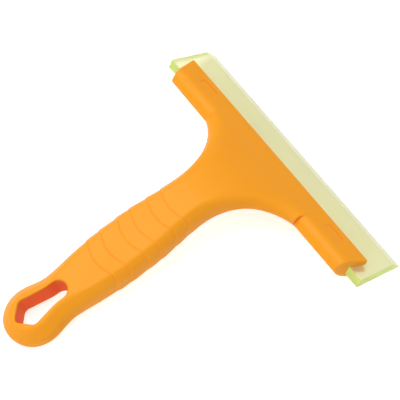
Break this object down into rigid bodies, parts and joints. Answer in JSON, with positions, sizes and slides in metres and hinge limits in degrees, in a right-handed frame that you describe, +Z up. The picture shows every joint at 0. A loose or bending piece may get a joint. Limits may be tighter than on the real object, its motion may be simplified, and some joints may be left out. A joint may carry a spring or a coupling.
{
  "type": "window cleaning squeegee",
  "caption": "T-shaped hand squeegee with a bent moulded grip, a hanging hole, and a thick bevelled translucent blade that slides out of the crossbar.",
  "frame": {"origin": "centre of the footprint, on the surface that the squeegee lies on", "axes": "+X along the blade, +Y from the handle's end towards the blade's lip, +Z up; the lip's lower edge and the handle's end touch Z = 0"},
  "size_m": [0.15, 0.1686, 0.0325],
  "materials": {
    "moulded_orange": "satin",
    "clear_lime": "translucent satin"
  },
  "bodies": {
    "holder": {"handle": "moulded_orange"},
    "blade_strip": {"blade": "clear_lime"}
  },
  "joints": [
    {"name": "blade_slide", "type": "slide", "parent": "holder", "child": "blade_strip", "axis": [1, 0, 0], "range_m": [-0.146, 0.146]}
  ]
}
